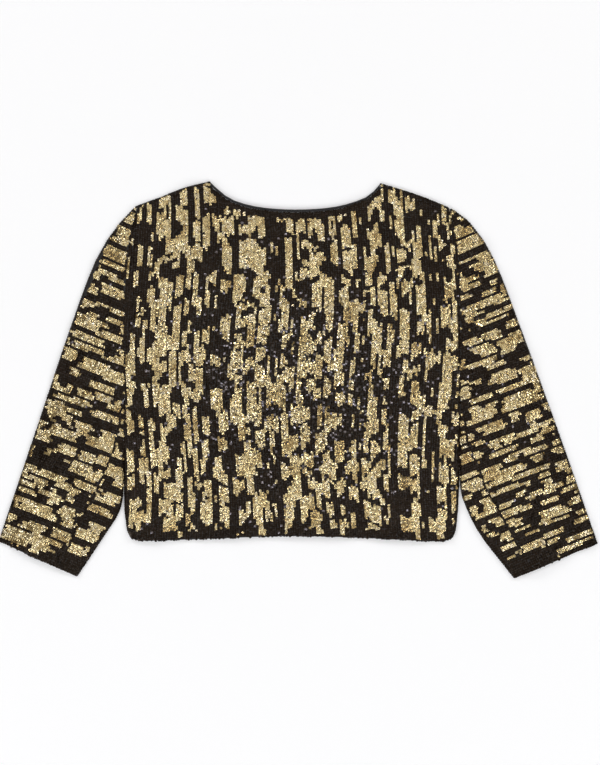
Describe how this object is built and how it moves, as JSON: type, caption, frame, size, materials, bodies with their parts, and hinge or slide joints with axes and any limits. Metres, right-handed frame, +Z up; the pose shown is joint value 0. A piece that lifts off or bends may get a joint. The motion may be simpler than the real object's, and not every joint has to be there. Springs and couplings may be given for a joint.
{
  "type": "blouse laid flat",
  "caption": "Short straight blouse with two-piece sleeves and a bound neck, laid flat with its back up, its front panel lying under the back panel.",
  "frame": {"origin": "middle of the blouse's length and width, on the surface that it lies on", "axes": "+X along the blouse's width towards the sleeve on the right when seen from above with the neck away, +Y towards the neck, +Z up out of the surface"},
  "size_m": [0.836, 0.5538, 0.0069],
  "materials": {
    "sequin_cloth": "net covered with overlapping flat round sequins in pale gold and black, glossy",
    "binding": "matt black woven strip"
  },
  "bodies": {
    "root": {"back": "sequin_cloth", "front": "sequin_cloth", "sleeve_top_left": "sequin_cloth", "sleeve_top_right": "sequin_cloth", "sleeve_under_left": "sequin_cloth", "sleeve_under_right": "sequin_cloth", "neck_binding_back": "binding", "neck_binding_front": "binding"}
  },
  "joints": []
}
